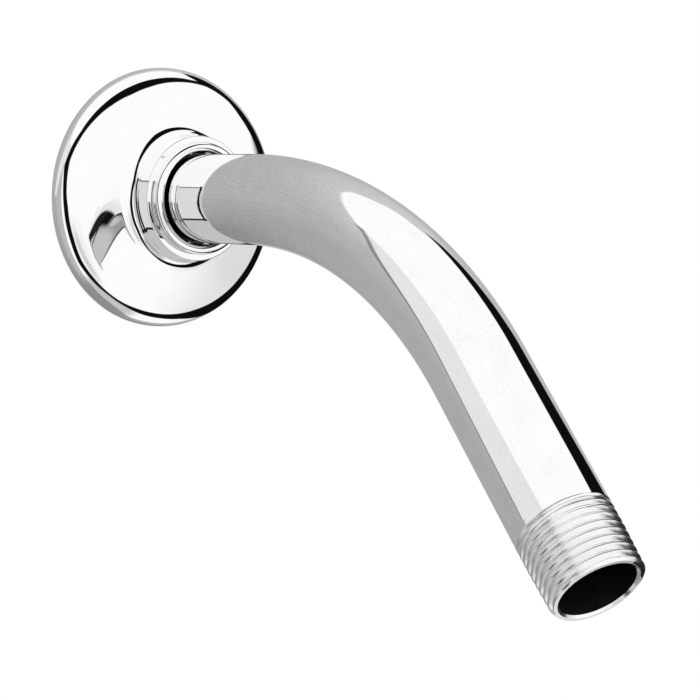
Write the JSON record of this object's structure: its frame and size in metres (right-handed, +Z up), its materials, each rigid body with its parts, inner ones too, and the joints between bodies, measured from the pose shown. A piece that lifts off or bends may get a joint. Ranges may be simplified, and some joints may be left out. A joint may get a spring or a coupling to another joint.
{
  "type": "shower arm",
  "caption": "Bent chrome shower arm with a tapered pipe thread at each end and a domed slip-on flange that slides along it to cover the hole in the wall.",
  "frame": {"origin": "centre of the flange's back face, on the axis of the arm's inlet", "axes": "+Y into the wall along the inlet's axis, +Z up, the arm leaves the wall towards -Y and bends down towards -Z"},
  "size_m": [0.0635, 0.1841, 0.1141],
  "materials": {
    "arm_chrome": "polished chrome plate on brass tube",
    "flange_chrome": "polished chrome plate on cast brass"
  },
  "bodies": {
    "arm": {"shower_arm": "arm_chrome"},
    "flange": {"wall_flange": "flange_chrome"}
  },
  "joints": [
    {"name": "flange_slide", "type": "slide", "parent": "arm", "child": "flange", "axis": [0, -1, 0], "range_m": [0, 0.02]}
  ]
}
